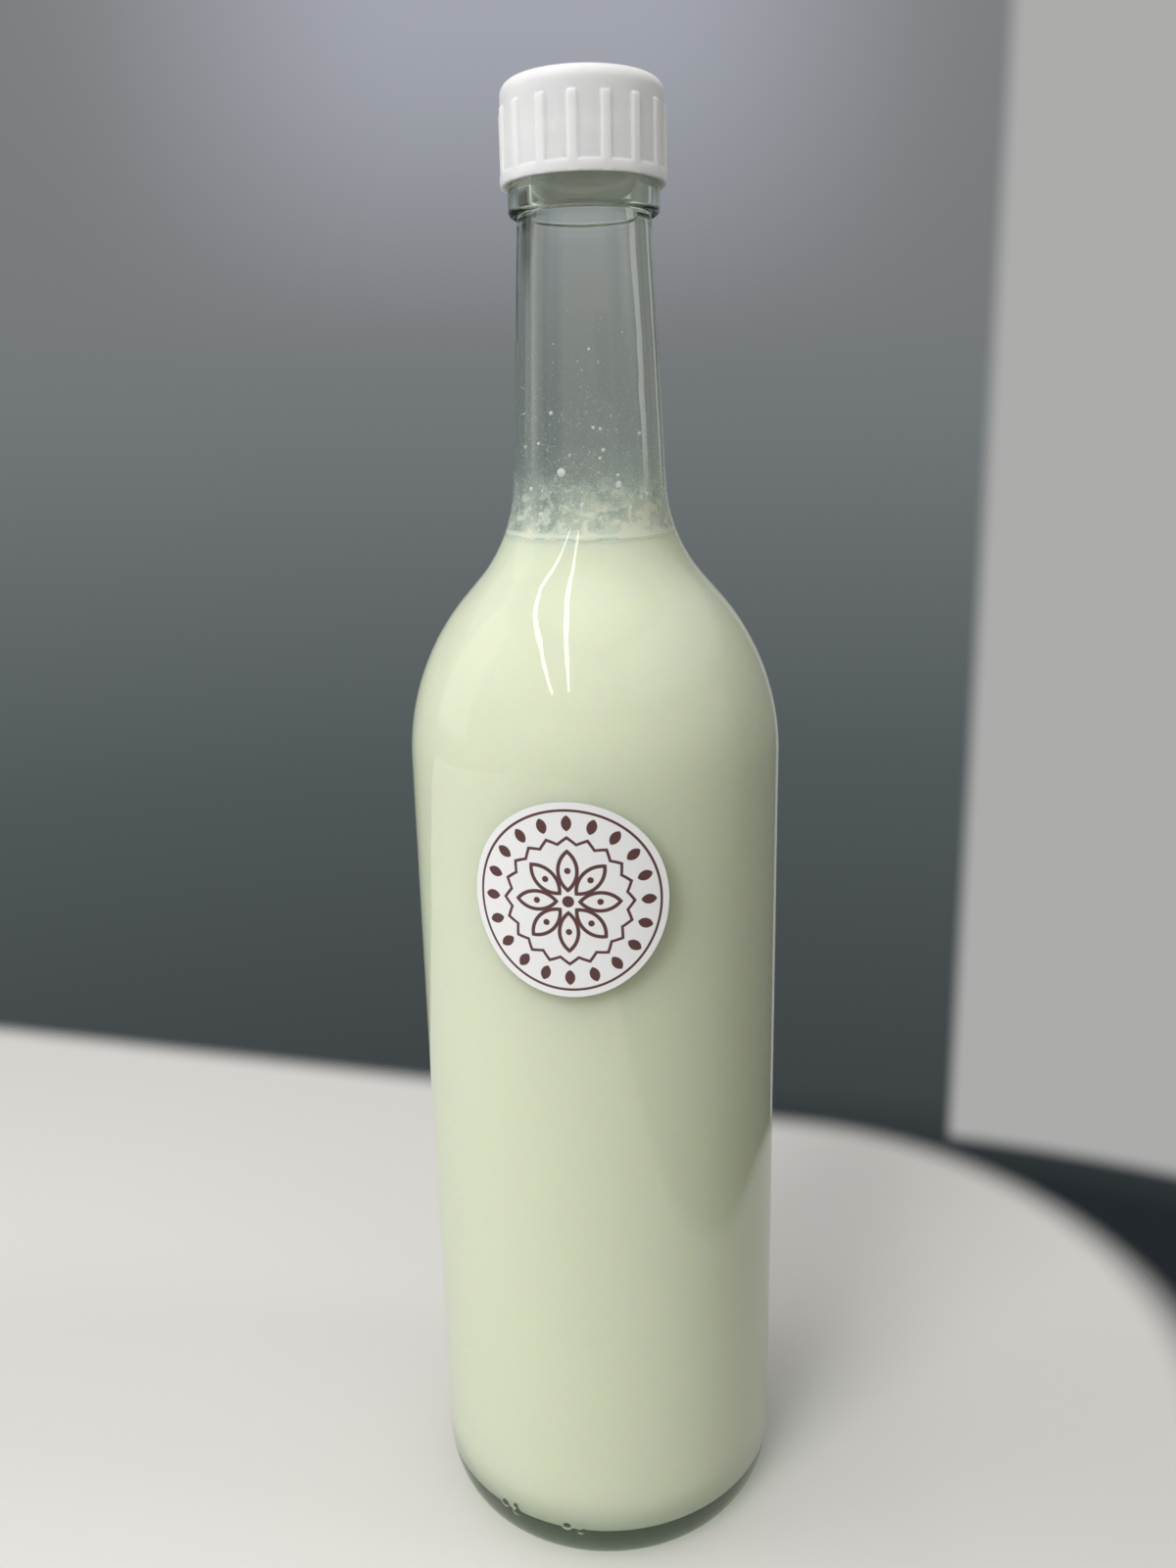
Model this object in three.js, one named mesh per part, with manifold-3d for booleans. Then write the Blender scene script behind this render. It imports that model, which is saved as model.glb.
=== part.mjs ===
// A clear glass bottle of milk with a white ribbed screw cap and a round paper sticker.
// Millimetres, +Z up. The origin is the centre of the flat ring that the bottle stands on,
// and the sticker is on the front, which faces -Y.
import * as THREE from 'three';
import { mergeVertices } from 'three/addons/utils/BufferGeometryUtils.js';
import Module from 'manifold-3d';

const wasm = await Module();
wasm.setup();

// Body of the bottle
const BODY_RADIUS = 37.5;
const WALL = 2.5;
const HEEL_HEIGHT = 12.2;
const REST_RING_OUTER = 32.7;
const REST_RING_INNER = 30.3;
const PUSH_UP = 3.5;
const SEGMENTS = 48;

// Inside of the base
const FLOOR_CENTRE = 8.5;
const FLOOR_EDGE = 5.5;
const INNER_HEEL_WIDTH = 7;
const INNER_HEEL_HEIGHT = 10;

// Shoulder: an outward bulge, a short straight slope and an inward sweep into the neck
const SHOULDER_START = 169.3;
const SHOULDER_RADIUS = 48.5;
const SHOULDER_TURN = 41.94;
const SLOPE_LENGTH = 3.95;
const SWEEP_RADIUS = 29.3;
const NECK_TAPER = 2.9;

// Neck ring, and the finish that the cap screws on
const RING_BOTTOM = 270.2;
const RING_TOP = 280;
const RING_RADIUS = 14.1;
const RING_TOP_RADIUS = 13.6;
const RING_TAPER_START = 275.4;
const RING_ROUNDING = 1.5;
const FINISH_RADIUS = 12.7;
const BORE_RADIUS = 9.8;
const BORE_START = 277;
const LIP = 291.2;
const LIP_ROUNDING = 0.9;

// Screw thread: a round bead on the glass, and one in the cap half a turn away from it
const THREAD_PITCH = 3.6;
const THREAD_TURNS = 1.5;
const THREAD_START = 281.6;
const GLASS_BEAD_PATH = 12.75;
const GLASS_BEAD_RADIUS = 0.95;
const CAP_BEAD_PATH = 14.1;
const CAP_BEAD_RADIUS = 0.75;

// Milk, which keeps a small gap to the glass
const MILK_LEVEL = 213.3;
const MILK_GAP = 0.3;

// Cap
const CAP_BOTTOM = 276.15;
const CAP_TOP = 293.5;
const CAP_CROWN = 0.3;
const CAP_CEILING = 291.55;
const CAP_RADIUS = 15;
const CAP_EDGE_ROUNDING = 2.3;
const CAP_BORE = 14.1;
const SKIRT_BORE = 14.45;
const BAND_RADIUS = 15.42;
const BAND_TOP = 278.2;
const RIB_COUNT = 16;
const RIB_RADIUS = 15.42;
const RIB_WIDTH = 2.2;
const RIB_TOP = 289.2;
const RIB_CORNER = 0.6;
const FIRST_RIB = -6.6;

// Sticker, a paper disc bent round the front of the bottle
const STICKER_DIAMETER = 37.6;
const STICKER_HEIGHT = 149.7;
const STICKER_TURN = -8.4;
const STICKER_GAP = 0.3;
const STICKER_THICKNESS = 0.3;

const glass = new THREE.MeshStandardMaterial({
  color: 0xd5ddd4, roughness: 0.03, metalness: 0, transparent: true, opacity: 0.35,
});
const milkWhite = new THREE.MeshStandardMaterial({ color: 0xdfe3cc, roughness: 0.4, metalness: 0 });
const whitePlastic = new THREE.MeshStandardMaterial({ color: 0xe8e8e6, roughness: 0.42, metalness: 0 });
const paper = new THREE.MeshStandardMaterial({ color: 0xe2e2e4, roughness: 0.7, metalness: 0 });

// Points of a round stretch of an outline, as (radius, height), from one angle to another.
function arc(centre, radiusX, radiusY, fromDegrees, toDegrees, steps) {
  const from = THREE.MathUtils.degToRad(fromDegrees);
  const to = THREE.MathUtils.degToRad(toDegrees);
  const curve = new THREE.EllipseCurve(centre.x, centre.y, radiusX, radiusY, from, to, to < from);
  return curve.getPoints(steps);
}

function point(radius, height) {
  return new THREE.Vector2(radius, height);
}

// A solid of revolution about Z, from an outline that starts and ends on the axis.
function turned(outline, segments = SEGMENTS) {
  return new THREE.LatheGeometry(outline, segments).rotateX(Math.PI / 2);
}

// The shoulder and the neck from the body up, moved inwards by inset, up to the height topZ.
function shoulderAndNeck(inset, topZ) {
  const turn = THREE.MathUtils.degToRad(SHOULDER_TURN);
  const bulgeCentre = point(BODY_RADIUS - SHOULDER_RADIUS, SHOULDER_START);
  const reach = SHOULDER_RADIUS + SWEEP_RADIUS;
  const sweepCentre = point(
    bulgeCentre.x + reach * Math.cos(turn) - SLOPE_LENGTH * Math.sin(turn),
    bulgeCentre.y + reach * Math.sin(turn) + SLOPE_LENGTH * Math.cos(turn),
  );
  const bulge = SHOULDER_RADIUS - inset;
  const sweep = SWEEP_RADIUS + inset;
  const points = [
    ...arc(bulgeCentre, bulge, bulge, 0, SHOULDER_TURN, 7),
    ...arc(sweepCentre, sweep, sweep, 180 + SHOULDER_TURN, 180 + NECK_TAPER, 6),
  ];
  const neckFoot = points.at(-1);
  const narrowing = (topZ - neckFoot.y) * Math.tan(THREE.MathUtils.degToRad(NECK_TAPER));
  return [...points, point(neckFoot.x - narrowing, topZ)];
}

// The inside of the base and the heel, moved inwards by inset, from the axis out to the wall.
function innerBase(inset) {
  const radius = BODY_RADIUS - WALL - inset;
  const heelCentre = point(radius - INNER_HEEL_WIDTH, FLOOR_EDGE + INNER_HEEL_HEIGHT + inset);
  const dome = point(0, FLOOR_EDGE + inset);
  return [
    ...arc(dome, heelCentre.x, FLOOR_CENTRE - FLOOR_EDGE, 90, 0, 5).slice(0, -1),
    ...arc(heelCentre, INNER_HEEL_WIDTH, INNER_HEEL_HEIGHT, -90, 0, 5),
  ];
}

// Manifold solids, for the joins that a lathe can't make
function toSolid(geometry) {
  const bare = geometry.clone();
  bare.deleteAttribute('normal');
  bare.deleteAttribute('uv');
  const merged = mergeVertices(bare, 1e-4);
  const vertProperties = new Float32Array(merged.attributes.position.array);
  const triVerts = new Uint32Array(merged.index.array);
  return new wasm.Manifold(new wasm.Mesh({ numProp: 3, vertProperties, triVerts }));
}

function toGeometry(solid) {
  const mesh = solid.getMesh();
  const geometry = new THREE.BufferGeometry();
  geometry.setAttribute('position', new THREE.BufferAttribute(mesh.vertProperties, 3));
  geometry.setIndex(new THREE.BufferAttribute(mesh.triVerts, 1));
  return geometry;
}

// A rising spiral whose two ends run out into the wall that carries it.
class ThreadPath extends THREE.Curve {
  constructor(radius, startHeight, startTurn, runOut) {
    super();
    Object.assign(this, { radius, startHeight, startTurn, runOut });
  }

  getPoint(t, target = new THREE.Vector3()) {
    const angle = 2 * Math.PI * (this.startTurn + THREAD_TURNS * t);
    const nearEnd = Math.min(t, 1 - t) * THREAD_TURNS;
    const sunk = this.runOut * (1 - THREE.MathUtils.smoothstep(nearEnd, 0, 0.12));
    const radius = this.radius + sunk;
    const height = this.startHeight + THREAD_PITCH * THREAD_TURNS * t;
    return target.set(radius * Math.cos(angle), radius * Math.sin(angle), height);
  }
}

function threadBead(pathRadius, beadRadius, startHeight, startTurn, runOut) {
  const section = new THREE.Shape().absarc(0, 0, beadRadius, 0, 2 * Math.PI);
  return new THREE.ExtrudeGeometry(section, {
    curveSegments: 4,
    steps: 30,
    extrudePath: new ThreadPath(pathRadius, startHeight, startTurn, runOut),
  });
}

function makeBottle() {
  const ringCentre = point(RING_RADIUS - RING_ROUNDING, RING_BOTTOM + RING_ROUNDING);
  const outside = [
    ...arc(point(0, 0), REST_RING_INNER, PUSH_UP, 90, 0, 5),
    ...arc(point(REST_RING_OUTER, HEEL_HEIGHT), BODY_RADIUS - REST_RING_OUTER, HEEL_HEIGHT, -90, 0, 6),
    ...shoulderAndNeck(0, RING_BOTTOM),
    ...arc(ringCentre, RING_ROUNDING, RING_ROUNDING, -60, 0, 3),
    point(RING_RADIUS, RING_TAPER_START),
    point(RING_TOP_RADIUS, RING_TOP),
    point(FINISH_RADIUS, RING_TOP + 0.4),
    ...arc(point(FINISH_RADIUS - LIP_ROUNDING, LIP - LIP_ROUNDING), LIP_ROUNDING, LIP_ROUNDING, 0, 90, 3),
  ];
  const inside = [
    ...innerBase(0),
    ...shoulderAndNeck(WALL, RING_BOTTOM).slice(0, -1),
    point(BORE_RADIUS, BORE_START),
    ...arc(point(BORE_RADIUS + LIP_ROUNDING, LIP - LIP_ROUNDING), LIP_ROUNDING, LIP_ROUNDING, 180, 90, 3),
  ];
  const shell = toSolid(turned([...outside, ...inside.reverse()]));
  const bead = toSolid(threadBead(GLASS_BEAD_PATH, GLASS_BEAD_RADIUS, THREAD_START, 0, -GLASS_BEAD_RADIUS));
  return toGeometry(shell.add(bead));
}

function makeMilk() {
  const inset = WALL + MILK_GAP;
  const wall = shoulderAndNeck(inset, RING_BOTTOM);
  const below = wall.filter((p) => p.y < MILK_LEVEL);
  const next = wall[below.length];
  const last = below.at(-1);
  const share = (MILK_LEVEL - last.y) / (next.y - last.y);
  const shore = last.clone().lerp(next, share);
  return turned([...innerBase(MILK_GAP), ...below, shore, point(0, MILK_LEVEL)]);
}

// One grip rib: an upright bar with a rounded top, which stands out of the cap's wall.
function ribSolid(degrees) {
  const half = RIB_WIDTH / 2;
  const foot = (CAP_BOTTOM + BAND_TOP) / 2;
  const height = RIB_TOP - foot;
  const outline = new THREE.Shape()
    .moveTo(-half, 0)
    .lineTo(half, 0)
    .lineTo(half, height - RIB_CORNER)
    .absarc(half - RIB_CORNER, height - RIB_CORNER, RIB_CORNER, 0, Math.PI / 2)
    .absarc(-half + RIB_CORNER, height - RIB_CORNER, RIB_CORNER, Math.PI / 2, Math.PI);
  const back = CAP_RADIUS - 0.5;
  const bar = new THREE.ExtrudeGeometry(outline, {
    depth: RIB_RADIUS - back, bevelEnabled: false, curveSegments: 3,
  });
  bar.rotateX(Math.PI / 2);
  bar.translate(0, -back, foot);
  bar.rotateZ(THREE.MathUtils.degToRad(degrees));
  return toSolid(bar);
}

function makeCap() {
  const edge = CAP_EDGE_ROUNDING;
  const inside = [
    point(0, CAP_CEILING),
    point(CAP_BORE, CAP_CEILING),
    point(CAP_BORE, BAND_TOP + 0.3),
    point(SKIRT_BORE, BAND_TOP - 0.3),
    point(SKIRT_BORE, CAP_BOTTOM),
  ];
  const outside = [
    point(BAND_RADIUS - 0.2, CAP_BOTTOM),
    point(BAND_RADIUS, CAP_BOTTOM + 0.2),
    point(BAND_RADIUS, BAND_TOP - 0.2),
    point(CAP_RADIUS, BAND_TOP + 0.15),
    ...arc(point(CAP_RADIUS - edge, CAP_TOP - edge), edge, edge, 0, 90, 5),
    point(CAP_RADIUS / 2, CAP_TOP + CAP_CROWN * 0.7),
    point(0, CAP_TOP + CAP_CROWN),
  ];
  const bead = threadBead(
    CAP_BEAD_PATH, CAP_BEAD_RADIUS, THREAD_START, 0.5, CAP_BEAD_RADIUS * 0.2,
  );
  let cap = toSolid(turned([...inside, ...outside])).add(toSolid(bead));
  for (let i = 0; i < RIB_COUNT; i += 1) {
    cap = cap.add(ribSolid(FIRST_RIB + (360 / RIB_COUNT) * i));
  }
  return toGeometry(cap);
}

// A flat disc, turned about its own centre, then wrapped round the body.
function makeSticker() {
  const radius = STICKER_DIAMETER / 2;
  const rings = [0, 1, 2, 3, 4].map((i) => (radius * i) / 4);
  const inner = BODY_RADIUS + STICKER_GAP;
  const outline = [
    ...rings.map((r) => point(r, inner)),
    ...rings.reverse().map((r) => point(r, inner + STICKER_THICKNESS)),
  ];
  const disc = turned(outline, 36);
  const place = disc.attributes.position;
  const turn = THREE.MathUtils.degToRad(STICKER_TURN);
  for (let i = 0; i < place.count; i += 1) {
    const angle = place.getX(i) / BODY_RADIUS + turn;
    const out = place.getZ(i);
    const height = STICKER_HEIGHT + place.getY(i);
    place.setXYZ(i, out * Math.sin(angle), -out * Math.cos(angle), height);
  }
  return disc;
}

// The lathe's faces point inwards or outwards by the outline's direction: this turns them out.
function facingOut(geometry) {
  const bare = geometry.index ? geometry : mergeVertices(geometry);
  const place = bare.attributes.position;
  const index = bare.index.array;
  const corner = [0, 1, 2].map(() => new THREE.Vector3());
  let volume = 0;
  for (let i = 0; i < index.length; i += 3) {
    corner.forEach((c, k) => c.fromBufferAttribute(place, index[i + k]));
    volume += corner[0].dot(corner[1].cross(corner[2]));
  }
  if (volume < 0) bare.setIndex([...index].reverse());
  bare.computeVertexNormals();
  return bare;
}

const milkBottle = new THREE.Group();
for (const [name, geometry, material] of [
  ['bottle', makeBottle(), glass],
  ['milk', makeMilk(), milkWhite],
  ['cap', makeCap(), whitePlastic],
  ['sticker', makeSticker(), paper],
]) {
  const mesh = new THREE.Mesh(facingOut(geometry), material);
  mesh.name = name;
  milkBottle.add(mesh);
}

export default milkBottle;
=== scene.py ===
# %% [markdown]
# # A glass bottle of milk
#
# This lesson dresses a measured model of a clear 750 ml bottle: slim neck, round shoulders, milk up to
# the foot of the neck, a ribbed white screw cap and a round paper sticker. The measured solids come
# first and never move. Each of them is then replaced by a finer piece in exactly the same place.

# %% Load the measured bottle
from math import cos, pi, radians, sin, tan

import bpy
import numpy as np
from mathutils import Matrix, Vector


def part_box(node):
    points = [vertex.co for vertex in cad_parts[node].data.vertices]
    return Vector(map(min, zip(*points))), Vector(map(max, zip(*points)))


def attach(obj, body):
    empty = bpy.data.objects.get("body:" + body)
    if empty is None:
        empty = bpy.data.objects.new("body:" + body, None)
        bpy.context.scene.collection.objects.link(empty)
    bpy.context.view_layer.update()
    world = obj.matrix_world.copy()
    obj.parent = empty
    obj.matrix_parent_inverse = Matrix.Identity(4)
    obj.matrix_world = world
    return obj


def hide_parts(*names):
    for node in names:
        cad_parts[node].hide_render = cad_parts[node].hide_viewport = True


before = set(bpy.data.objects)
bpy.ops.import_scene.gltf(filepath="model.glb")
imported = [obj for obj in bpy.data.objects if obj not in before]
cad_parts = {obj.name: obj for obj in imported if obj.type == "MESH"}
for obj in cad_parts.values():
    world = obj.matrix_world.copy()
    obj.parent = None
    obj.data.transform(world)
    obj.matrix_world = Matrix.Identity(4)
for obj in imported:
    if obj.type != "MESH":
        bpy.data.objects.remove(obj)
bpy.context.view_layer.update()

MM = 0.001

# %% [markdown]
# ## Sizes
#
# The measured solids give the main sizes: the body's radius, the milk's level, and where the cap and the
# sticker sit. The rest are the sizes of curves that a box can't tell, such as the shoulder's two arcs.
# Everything is in millimetres until a mesh is made.

# %% Sizes in millimetres
BODY_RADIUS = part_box("bottle")[1].x / MM
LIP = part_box("bottle")[1].z / MM
MILK_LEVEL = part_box("milk")[1].z / MM
CAP_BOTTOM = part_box("cap")[0].z / MM
CAP_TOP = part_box("cap")[1].z / MM

WALL = 2.5
HEEL_HEIGHT = 12.2
REST_RING_OUTER = 32.7
REST_RING_INNER = 30.3
PUSH_UP = 3.5
FLOOR_CENTRE = 8.5
FLOOR_EDGE = 5.5
INNER_HEEL_WIDTH = 7.0
INNER_HEEL_HEIGHT = 10.0

SHOULDER_START = 169.3
SHOULDER_RADIUS = 48.5
SHOULDER_TURN = 41.94
SLOPE_LENGTH = 3.95
SWEEP_RADIUS = 29.3
NECK_TAPER = 2.9

RING_BOTTOM = 270.9
RING_TOP = 280.0
RING_RADIUS = 14.1
RING_TOP_RADIUS = 13.6
FINISH_RADIUS = 12.7
BORE_RADIUS = 9.8
LIP_ROUNDING = 0.9

print("body radius", round(BODY_RADIUS, 2), "milk level", round(MILK_LEVEL, 2), "lip", round(LIP, 2))

# %% [markdown]
# ## Camera
#
# The camera is fitted to the outline of the bottle in the picture: it stands a quarter of a metre away,
# a little above the shoulder, and looks down by 15 degrees. The picture is held very slightly turned.
# The camera's axes are written out as three vectors, so that no helper has to know the frame's size.

# %% Place the camera
PICTURE_HEIGHT_PX = 1600
FOCAL_LENGTH_PX = 1305
SENSOR = 36.0
CAMERA_PLACE = Vector((0.0, -256.9, 230.35)) * MM
LOOK_DOWN = radians(14.917)
LOOK_ASIDE = radians(-0.366)
ROLL = radians(-1.277)

forward = Vector((sin(LOOK_ASIDE) * cos(LOOK_DOWN), cos(LOOK_ASIDE) * cos(LOOK_DOWN), -sin(LOOK_DOWN)))
level_right = Vector((cos(LOOK_ASIDE), -sin(LOOK_ASIDE), 0.0))
level_up = level_right.cross(forward)
right = level_right * cos(ROLL) + level_up * sin(ROLL)
up = level_up * cos(ROLL) - level_right * sin(ROLL)

camera_data = bpy.data.cameras.new("camera")
camera_data.sensor_width = SENSOR
camera_data.lens = SENSOR * FOCAL_LENGTH_PX / PICTURE_HEIGHT_PX
camera_data.clip_start = 0.01
camera = bpy.data.objects.new("camera", camera_data)
camera.matrix_world = Matrix.Translation(CAMERA_PLACE) @ Matrix((right, up, -forward)).transposed().to_4x4()
bpy.context.scene.collection.objects.link(camera)
bpy.context.scene.camera = camera
print("lens", round(camera_data.lens, 2), "mm")

# %% [markdown]
# ## Small helpers
#
# One function turns a hex colour into the linear numbers that shaders want, and one adds a node with its
# settings and links. A node may be handed another node as an input: it then takes that node's first
# output. A socket is named by its label, or by its number where several share one: a Mix node of colours
# blends sockets 6 and 7 into output 2. The size of every pattern is given in millimetres, so one function
# turns that into a scale.

# %% Helpers for colours and nodes
def linear(hex_colour):
    """An sRGB colour such as "#f1efe0" as linear red, green, blue and alpha."""
    channels = [int(hex_colour[i:i + 2], 16) / 255 for i in (1, 3, 5)]
    return [c / 12.92 if c <= 0.04045 else ((c + 0.055) / 1.055) ** 2.4 for c in channels] + [1.0]


def add(tree, kind, inputs=None, **settings):
    node = tree.nodes.new(kind)
    for name, value in settings.items():
        setattr(node, name, value)
    for socket, value in (inputs or {}).items():
        if isinstance(value, bpy.types.Node):
            value = value.outputs[0]
        if isinstance(value, bpy.types.NodeSocket):
            tree.links.new(value, node.inputs[socket])
        else:
            node.inputs[socket].default_value = value
    return node


def cells(size_mm):
    """Scale of a noise with cells of this size, on Object coordinates, which are in metres."""
    return 1 / (size_mm * MM)


def new_material(name):
    material = bpy.data.materials.new(name)
    material.use_nodes = True
    material.node_tree.nodes.clear()
    return material, material.node_tree


print("a mid grey in linear light:", [round(c, 3) for c in linear("#808080")[:3]])

# %% [markdown]
# A mesh is made from corners in millimetres and faces that name them. Its faces are shaded smoothly, apart
# from edges sharper than 50 degrees. A finished piece rides on the bottle's one body, and the measured
# solids that it stands for are hidden.

# %% Helpers for meshes and pieces
def mesh_object(name, corners_mm, faces, material):
    mesh = bpy.data.meshes.new(name)
    mesh.from_pydata((np.asarray(corners_mm) * MM).tolist(), [], faces)
    mesh.materials.append(material)
    mesh.polygons.foreach_set("use_smooth", [True] * len(mesh.polygons))
    mesh.set_sharp_from_angle(angle=radians(50))
    piece = bpy.data.objects.new(name, mesh)
    bpy.context.scene.collection.objects.link(piece)
    return piece


def finished(piece, slot, *nodes):
    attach(piece, "root")
    if nodes:
        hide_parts(*nodes)
    print(piece.name, len(piece.data.polygons), "faces")


# %% [markdown]
# ## Turning a shape on a lathe
#
# Bottle, milk and cap are all turned shapes: an outline of radius and height, carried round the axis.
# A Screw modifier could do that, but here the rings are laid by hand, because then a relief can be added
# while turning: the screw thread, the marks on the heel and the slight unevenness of blown glass. An
# outline starts and ends on the axis, so the skin closes, and it runs up the outside, so it faces out.
# It is put together from arcs and straight stretches.

# %% Helpers for outlines
def arc(centre, radii, start, end, steps):
    turn = np.radians(np.linspace(start, end, steps + 1))
    return np.column_stack((centre[0] + radii[0] * np.cos(turn), centre[1] + radii[1] * np.sin(turn)))


def straight(start, end, steps):
    share = np.linspace(0, 1, steps + 1)[:, None]
    return np.asarray(start) * (1 - share) + np.asarray(end) * share


def outline_of(*stretches):
    points = np.vstack([np.atleast_2d(s) for s in stretches])
    apart = np.hypot(*np.diff(points, axis=0).T) > 1e-4
    return points[np.concatenate(([True], apart))]


print("half a circle of 10 mm in four steps:", arc((0, 0), (10, 10), 0, 180, 4).round(1).tolist())


# %% The lathe
def turned(name, outline, angles, material, relief=None, closed=False):
    """Turns an outline from axis to axis, or with closed one that runs round on itself."""
    ringed = outline if closed else outline[1:-1]
    radius, height = (np.repeat(column[:, None], len(angles), 1) for column in ringed.T)
    if relief:
        radius = radius + relief(angles[None, :], radius, height)
    rings, around = radius.shape
    corners = np.stack((radius * np.sin(angles), -radius * np.cos(angles), height), -1).reshape(-1, 3)
    here = np.arange(around)
    beside = (here + 1) % around
    faces = []
    for ring in range(rings if closed else rings - 1):
        low, high = ring * around, (ring + 1) % rings * around
        faces += np.column_stack((low + here, low + beside, high + beside, high + here)).tolist()
    if not closed:
        foot, top, last = len(corners), len(corners) + 1, (rings - 1) * around
        corners = np.vstack((corners, (0, 0, outline[0][1]), (0, 0, outline[-1][1])))
        faces += [(foot, b, a) for a, b in zip(here.tolist(), beside.tolist())]
        faces += [(top, last + a, last + b) for a, b in zip(here.tolist(), beside.tolist())]
    return mesh_object(name, corners, faces, material)


def evenly(count):
    return np.linspace(0, 2 * pi, count, endpoint=False)


print("160 columns on the body stand", round(evenly(160)[1] * BODY_RADIUS, 2), "mm apart")

# %% [markdown]
# ## The bottle's outline
#
# A bulging arc, a short straight slope and a hollow arc lead from the body into the neck. Both arcs keep
# their centres when the outline is moved inwards, so the same function gives the outside of the glass,
# its inside, and the film of milk that clings to it.

# %% Shoulder and neck
def shoulder_and_neck(inset, top, bulge_steps=26, sweep_steps=24):
    turn = radians(SHOULDER_TURN)
    reach = SHOULDER_RADIUS + SWEEP_RADIUS
    bulge_centre = (BODY_RADIUS - SHOULDER_RADIUS, SHOULDER_START)
    sweep_centre = (
        bulge_centre[0] + reach * cos(turn) - SLOPE_LENGTH * sin(turn),
        bulge_centre[1] + reach * sin(turn) + SLOPE_LENGTH * cos(turn),
    )
    bulge = [SHOULDER_RADIUS - inset] * 2
    sweep = [SWEEP_RADIUS + inset] * 2
    shoulder = arc(bulge_centre, bulge, 0, SHOULDER_TURN, bulge_steps)
    hollow = arc(sweep_centre, sweep, 180 + SHOULDER_TURN, 180 + NECK_TAPER, sweep_steps)
    neck_top = (hollow[-1][0] - (top - hollow[-1][1]) * tan(radians(NECK_TAPER)), top)
    return outline_of(shoulder, hollow, straight(hollow[-1], neck_top, 16))


print("neck radius under its ring", round(float(shoulder_and_neck(0, RING_BOTTOM)[-1][0]), 2), "mm")


# %% Inside of the glass
def inner_base(inset):
    radius = BODY_RADIUS - WALL - inset
    heel_centre = (radius - INNER_HEEL_WIDTH, FLOOR_EDGE + INNER_HEEL_HEIGHT + inset)
    dome = arc((0, FLOOR_EDGE + inset), (heel_centre[0], FLOOR_CENTRE - FLOOR_EDGE), 90, 0, 14)
    heel = arc(heel_centre, (INNER_HEEL_WIDTH, INNER_HEEL_HEIGHT), -90, 0, 16)
    return outline_of(dome, heel)


body_inside = BODY_RADIUS - WALL
inner_wall = outline_of(
    inner_base(0),
    straight((body_inside, FLOOR_EDGE + INNER_HEEL_HEIGHT), (body_inside, SHOULDER_START), 24),
    shoulder_and_neck(WALL, RING_BOTTOM),
)


def wall_radius(height):
    """Radius of the inside of the glass at a height above the heel."""
    return np.interp(height, inner_wall[:, 1], inner_wall[:, 0])


print("inside radius at the milk's level", round(float(wall_radius(MILK_LEVEL)), 2), "mm")

# %% [markdown]
# ## Clear flint glass
#
# Bottle glass is soda-lime glass with an index of 1.52, fire polished by the flame, so it is as smooth as
# water. A trace of iron absorbs a little red and blue, which shows as green only where the glass is
# thick, at the heel and the neck ring: that is a volume absorption, not a surface colour. Cooling in the
# mould leaves a ripple of a few hundredths of a millimetre, drawn out upwards, which makes highlights
# waver. Lamps can't find their way through refracting glass, so rays that look for a lamp pass straight
# through instead.

# %% Glass
GLASS_INDEX = 1.52
RIPPLE_SIZE = 3.85
RIPPLE_DEPTH = 0.04
RIPPLE_STRETCH = 4
glass, tree = new_material("clear_flint_glass")
place = add(tree, "ShaderNodeTexCoord")
drawn_out = add(tree, "ShaderNodeMapping", {
    "Vector": place.outputs["Object"], "Scale": (1, 1, 1 / RIPPLE_STRETCH),
})
ripple = add(tree, "ShaderNodeTexNoise", {
    "Vector": drawn_out, "Scale": cells(RIPPLE_SIZE), "Detail": 2.0, "Roughness": 0.4,
})
bump = add(tree, "ShaderNodeBump", {"Height": ripple, "Strength": 1.0, "Distance": RIPPLE_DEPTH * MM})
body = add(tree, "ShaderNodeBsdfPrincipled", {
    "Base Color": linear("#ffffff"), "Roughness": 0.0, "IOR": GLASS_INDEX, "Transmission Weight": 1.0,
    "Normal": bump,
})
open_way = add(tree, "ShaderNodeBsdfTransparent", {"Color": linear("#f8faf8")})
ray = add(tree, "ShaderNodeLightPath")
surface = add(tree, "ShaderNodeMixShader", {0: ray.outputs["Is Shadow Ray"], 1: body, 2: open_way})
tint = add(tree, "ShaderNodeVolumeAbsorption", {"Color": linear("#d1ebd4"), "Density": 55.0})
add(tree, "ShaderNodeOutputMaterial", {"Surface": surface, "Volume": tint})
print(glass.name, "with an index of", GLASS_INDEX, "and ripples", RIPPLE_SIZE, "mm across")

# %% [markdown]
# ## The glass bottle
#
# The thread and the heel's marks are part of the glass, so they are relief on the same skin. The thread is
# a round bead wound as a screw: its middle climbs by one pitch for each turn, and both its ends run out
# into the wall. The cap uses the same function for its own thread, which points inwards.

# %% Screw thread
THREAD_PITCH = 3.6
THREAD_TURNS = 1.5
THREAD_START = 281.6
THREAD_RUN_OUT = 0.12
GLASS_BEAD = 0.95
GLASS_BEAD_STAND = 0.05


def thread_relief(angle, height, stand, bead, start_turn):
    """How far a round bead, wound as a screw thread, stands out of its wall."""
    turn = ((angle + pi / 2) / (2 * pi) - start_turn) % 1.0
    relief = np.zeros(np.broadcast(angle, height).shape)
    for winding in range(2):
        along = turn + winding
        middle = THREAD_START + THREAD_PITCH * along
        half = np.sqrt(np.clip(bead ** 2 - (height - middle) ** 2, 0, None))
        ends = np.clip(np.minimum(along, THREAD_TURNS - along) / THREAD_RUN_OUT, 0, 1)
        relief = np.maximum(relief, np.where(half > 0, half + stand, 0) * ends ** 0.5)
    return relief


print("thread from", THREAD_START, "to", THREAD_START + THREAD_PITCH * THREAD_TURNS, "mm")

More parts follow.
